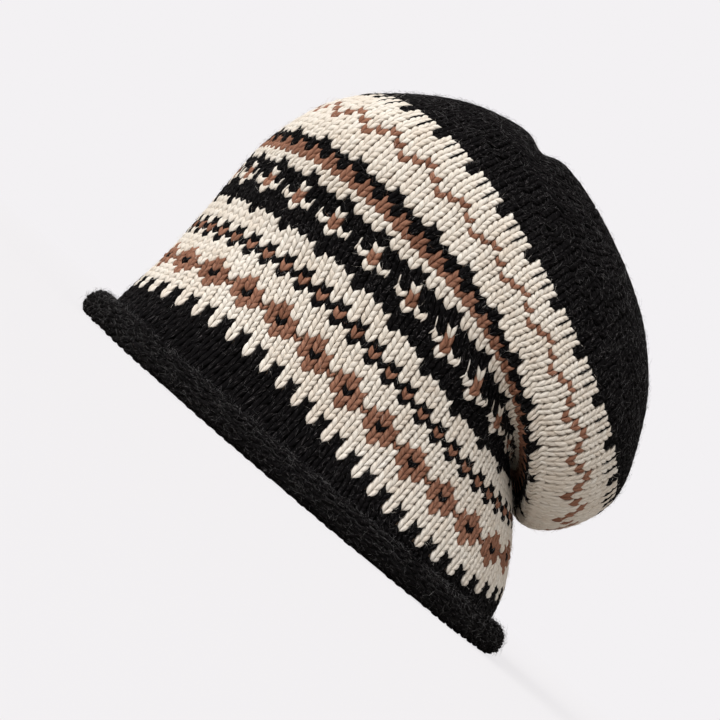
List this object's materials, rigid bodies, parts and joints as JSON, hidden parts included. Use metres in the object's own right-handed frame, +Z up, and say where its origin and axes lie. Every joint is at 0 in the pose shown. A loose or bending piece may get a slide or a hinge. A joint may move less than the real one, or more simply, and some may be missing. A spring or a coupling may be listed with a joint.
{
  "type": "slouchy knitted beanie",
  "caption": "Slouchy stranded-knit beanie with an outward rolled brim, banded body, and a plain gathered crown whose bag hangs at the back.",
  "frame": {"origin": "on the surface that the hat stands on, under the middle of its length and width", "axes": "+X from the forehead to the back of the head, +Z up, -Y the side that the picture shows"},
  "size_m": [0.219, 0.1856, 0.1695],
  "materials": {
    "black_wool": "charcoal black wool yarn, fuzzy, matt",
    "cream_wool": "undyed cream wool yarn, plied, matt",
    "brown_wool": "heathered reddish brown wool yarn, plied, matt"
  },
  "bodies": {
    "root": {"rolled_brim": "black_wool", "patterned_body": "cream_wool", "crown": "black_wool"}
  },
  "joints": []
}
